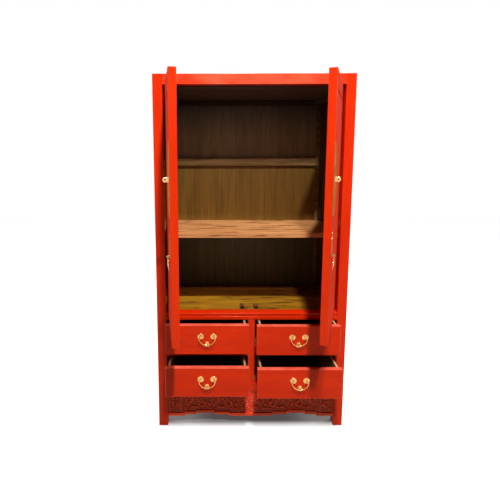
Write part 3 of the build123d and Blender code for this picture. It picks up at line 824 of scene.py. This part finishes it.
# the boards are tongued into each other, so no light comes through, with a fine V at each joint
V, OVERLAP = 0.9, 0.05  # half the V's width, and how far a board runs into the next, in mm
low, high = back_low / MM, back_high / MM
wide = board_width / MM
thick = high.y - low.y
section = [(V, 0), (wide - V, 0), (wide + OVERLAP, V), (wide + OVERLAP, thick - V),
           (wide - V, thick), (V, thick), (-OVERLAP, thick - V), (-OVERLAP, V)]
parts = [(slab(section, high.z - low.z), at(low.x + i * wide, low.y, low.z))
         for i in range(BOARDS)]
piece("back_planking", parts, "carcass", back_wood, ["back_boards"])

# ---------------------------------------------------------------- plates of the catches

# one is let into the front of each of the two blocks
INSET, ABOVE_FLOOR, FROM_END = 1.15, 11.5, 12  # in mm
low, high = [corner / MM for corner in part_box("door_catches")]
plate = [(-8.5, -6.5), (8.5, -6.5), (8.5, 6.5), (-8.5, 6.5)]
parts = [(slab(plate, 1.2, 0.3), at(x, low.y + INSET, low.z + ABOVE_FLOOR, OUT))
         for x in (low.x + FROM_END, high.x - FROM_END)]
piece("catch_plates", parts, "carcass", iron)

# ---------------------------------------------------------------- stage, light, camera

# in metres
FLOOR_HALF = 8
FOOT_X, FOOT_Y = 0.508, 0.254  # half the cabinet's width and depth
AMBIENT = 0.03  # the room's light on the cabinet

bm = bmesh.new()
bmesh.ops.create_grid(bm, x_segments=1, y_segments=1, size=FLOOR_HALF)
mesh = bpy.data.meshes.new("studio_floor")
bm.to_mesh(mesh)
bm.free()
floor = bpy.data.objects.new("studio_floor", mesh)
bpy.context.scene.collection.objects.link(floor)


def pale_floor():
    """Pale paper: it shows white to the camera, but not under the cabinet, where its own
    shadow stays dark."""
    material, tree = new_material("pale_floor")
    axes = axes_of(tree, mapped(tree, object_place(tree), Location=(0, -front - FOOT_Y, 0)))
    beyond = [maths(tree, "SUBTRACT", maths(tree, "ABSOLUTE", axes[axis]), half)
              for axis, half in (("X", FOOT_X), ("Y", FOOT_Y))]
    outside = spread(tree, maths(tree, "MAXIMUM", *beyond), -0.03, 0.02, 0.07, 0.96)
    strength = maths(tree, "MULTIPLY", outside, seen_directly(tree))
    paper = add(tree, "ShaderNodeBsdfDiffuse", {"Color": linear("A8A6A3")})
    glow = add(tree, "ShaderNodeEmission", {"Color": (1, 1, 1, 1), "Strength": strength})
    both = add(tree, "ShaderNodeAddShader", {0: paper.outputs[0], 1: glow.outputs[0]})
    add(tree, "ShaderNodeOutputMaterial", {"Surface": both.outputs[0]})
    return material


floor.data.materials.append(pale_floor())

# the room is white to the camera and in the brass, and adds little light
world = bpy.data.worlds.new("studio")
bpy.context.scene.world = world
world.use_nodes = True
tree = world.node_tree
tree.nodes.clear()
room = add(tree, "ShaderNodeBackground", {
    "Color": (1, 1, 1, 1), "Strength": spread(tree, seen_directly(tree), 0, 1, AMBIENT, 1)})
add(tree, "ShaderNodeOutputWorld", {"Surface": room.outputs[0]})


def softbox(name, place, aim, width, power):
    """A square lamp at a place, turned to an aim, with its width in metres and power in watts."""
    light = bpy.data.lights.new(name, "AREA")
    light.shape = "SQUARE"
    light.size, light.energy = width, power
    lamp = bpy.data.objects.new(name, light)
    bpy.context.scene.collection.objects.link(lamp)
    lamp.location = place
    lamp.rotation_euler = (Vector(aim) - Vector(place)).to_track_quat("-Z", "Y").to_euler()


# two small boxes high in front throw the shadows of the doors into the cabinet
softbox("high_softbox", (0.13, -2.0 + front, 4.88), (0, 0, 1), 0.15, 155)
softbox("front_softbox", (0.14, -2.6 + front, 3.9), (0, 0, 1), 0.15, 92)

# the sides and the back get as much light as the front, from boxes behind the front plane
for across in (-1, 1):
    softbox("side_softbox", (across * 3.0, 1.3, 2.5), (0, 0.2, 0.9), 1.0, 60)
softbox("back_softbox", (0.3, 4.0, 3.2), (0, 0.4, 1), 1.0, 100)

FOCAL, CENTRE_X, CENTRE_Y, FRAME_SIZE = 394.71, 212.9, 210, 500  # in pixels of a 500 wide frame
YAW, PITCH, ROLL = -0.0035, 0.1324, -0.0020  # in radians
SENSOR = 36  # in mm
STANDPOINT = (-0.19999, -2.02372 + front, 1.48019)

camera_data = bpy.data.cameras.new("camera")
camera = bpy.data.objects.new("camera", camera_data)
bpy.context.scene.collection.objects.link(camera)
bpy.context.scene.camera = camera
camera_data.sensor_fit = "HORIZONTAL"
camera_data.sensor_width = SENSOR
camera_data.lens = FOCAL / FRAME_SIZE * SENSOR
camera_data.shift_x = (FRAME_SIZE / 2 - CENTRE_X) / FRAME_SIZE
camera_data.shift_y = (CENTRE_Y - FRAME_SIZE / 2) / FRAME_SIZE
camera_data.clip_start, camera_data.clip_end = 0.05, 60
ahead = Vector((math.sin(YAW) * math.cos(PITCH), math.cos(YAW) * math.cos(PITCH),
                -math.sin(PITCH)))
level = Vector((math.cos(YAW), -math.sin(YAW), 0))
right = level * math.cos(ROLL) + level.cross(ahead) * math.sin(ROLL)
above = right.cross(ahead)
stance = Matrix((right, above, -ahead)).transposed().to_4x4()
camera.matrix_world = Matrix.Translation(STANDPOINT) @ stance

bpy.context.scene.view_settings.view_transform = "Standard"
